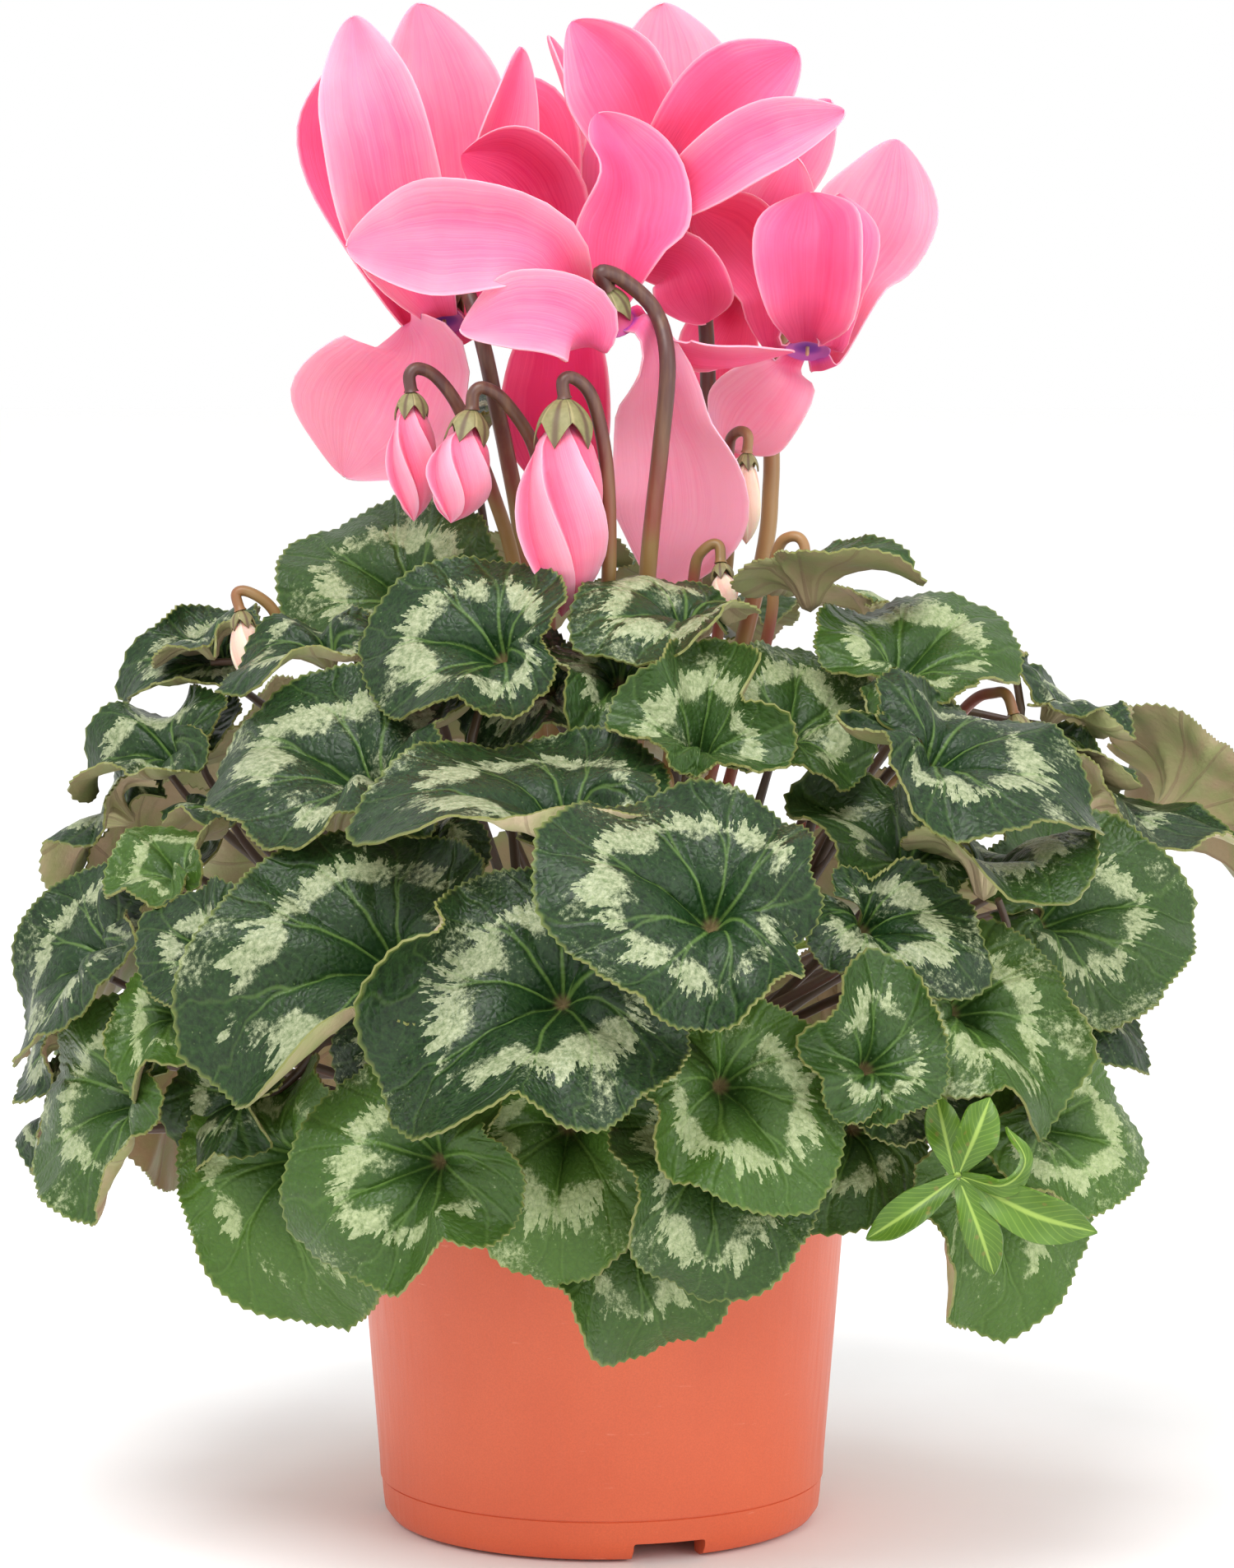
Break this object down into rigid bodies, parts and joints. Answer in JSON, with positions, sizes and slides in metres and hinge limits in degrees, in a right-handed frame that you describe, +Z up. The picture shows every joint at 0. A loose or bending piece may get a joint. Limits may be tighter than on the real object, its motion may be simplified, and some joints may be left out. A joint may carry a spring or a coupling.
{
  "type": "potted cyclamen",
  "caption": "Florist's cyclamen in a plain plastic nursery pot: a dome of heart-shaped leaves with pink flowers and hanging buds above it.",
  "frame": {"origin": "centre of the pot's base, on the plane it stands on", "axes": "+Z up, -Y towards the front view of the picture, +X to its right"},
  "size_m": [0.3437, 0.3459, 0.3914],
  "materials": {
    "pot": "satin, terracotta orange-red",
    "soil": "matt crumbly potting compost",
    "corm": "matt bark-like skin",
    "petal": "soft satin petal",
    "pale_petal": "soft satin petal",
    "flower_stalk": "satin, fleshy stalk and calyx",
    "green_bud": "satin, fleshy bud",
    "leaf": "satin, marbled leaf",
    "weed": "satin leaf"
  },
  "bodies": {
    "root": {"bloom_back_petals": "petal", "bloom_back_stalk": "flower_stalk", "bloom_inner_petals": "petal", "bloom_inner_stalk": "flower_stalk", "bloom_left_petals": "petal", "bloom_left_stalk": "flower_stalk", "bloom_middle_petals": "petal", "bloom_middle_stalk": "flower_stalk", "bloom_right_petals": "petal", "bloom_right_stalk": "flower_stalk", "bloom_right_top_petals": "petal", "bloom_right_top_stalk": "flower_stalk", "bud_1_petals": "petal", "bud_1_stalk": "flower_stalk", "bud_2_petals": "petal", "bud_2_stalk": "flower_stalk", "bud_3_petals": "petal", "bud_3_stalk": "flower_stalk", "bud_4_petals": "pale_petal", "bud_4_stalk": "flower_stalk", "bud_5_petals": "pale_petal", "bud_5_stalk": "flower_stalk", "bud_6": "green_bud", "bud_7_petals": "pale_petal", "bud_7_stalk": "flower_stalk", "bud_8_petals": "pale_petal", "bud_8_stalk": "flower_stalk", "bud_9": "green_bud", "corm": "corm", "pot": "pot", "soil": "soil", "spray_01": "leaf", "spray_02": "leaf", "spray_03": "leaf", "spray_04": "leaf", "spray_05": "leaf", "spray_06": "leaf", "spray_07": "leaf", "spray_08": "leaf", "spray_09": "leaf", "spray_10": "leaf", "spray_11": "leaf", "spray_12": "leaf", "spray_13": "leaf", "spray_14": "leaf", "spray_15": "leaf", "spray_16": "leaf", "spray_17": "leaf", "spray_18": "leaf", "spray_19": "leaf", "spray_20": "leaf", "spray_21": "leaf", "spray_22": "leaf", "spray_23": "leaf", "spray_24": "leaf", "spray_25": "leaf", "spray_26": "leaf", "weed": "weed"}
  },
  "joints": []
}
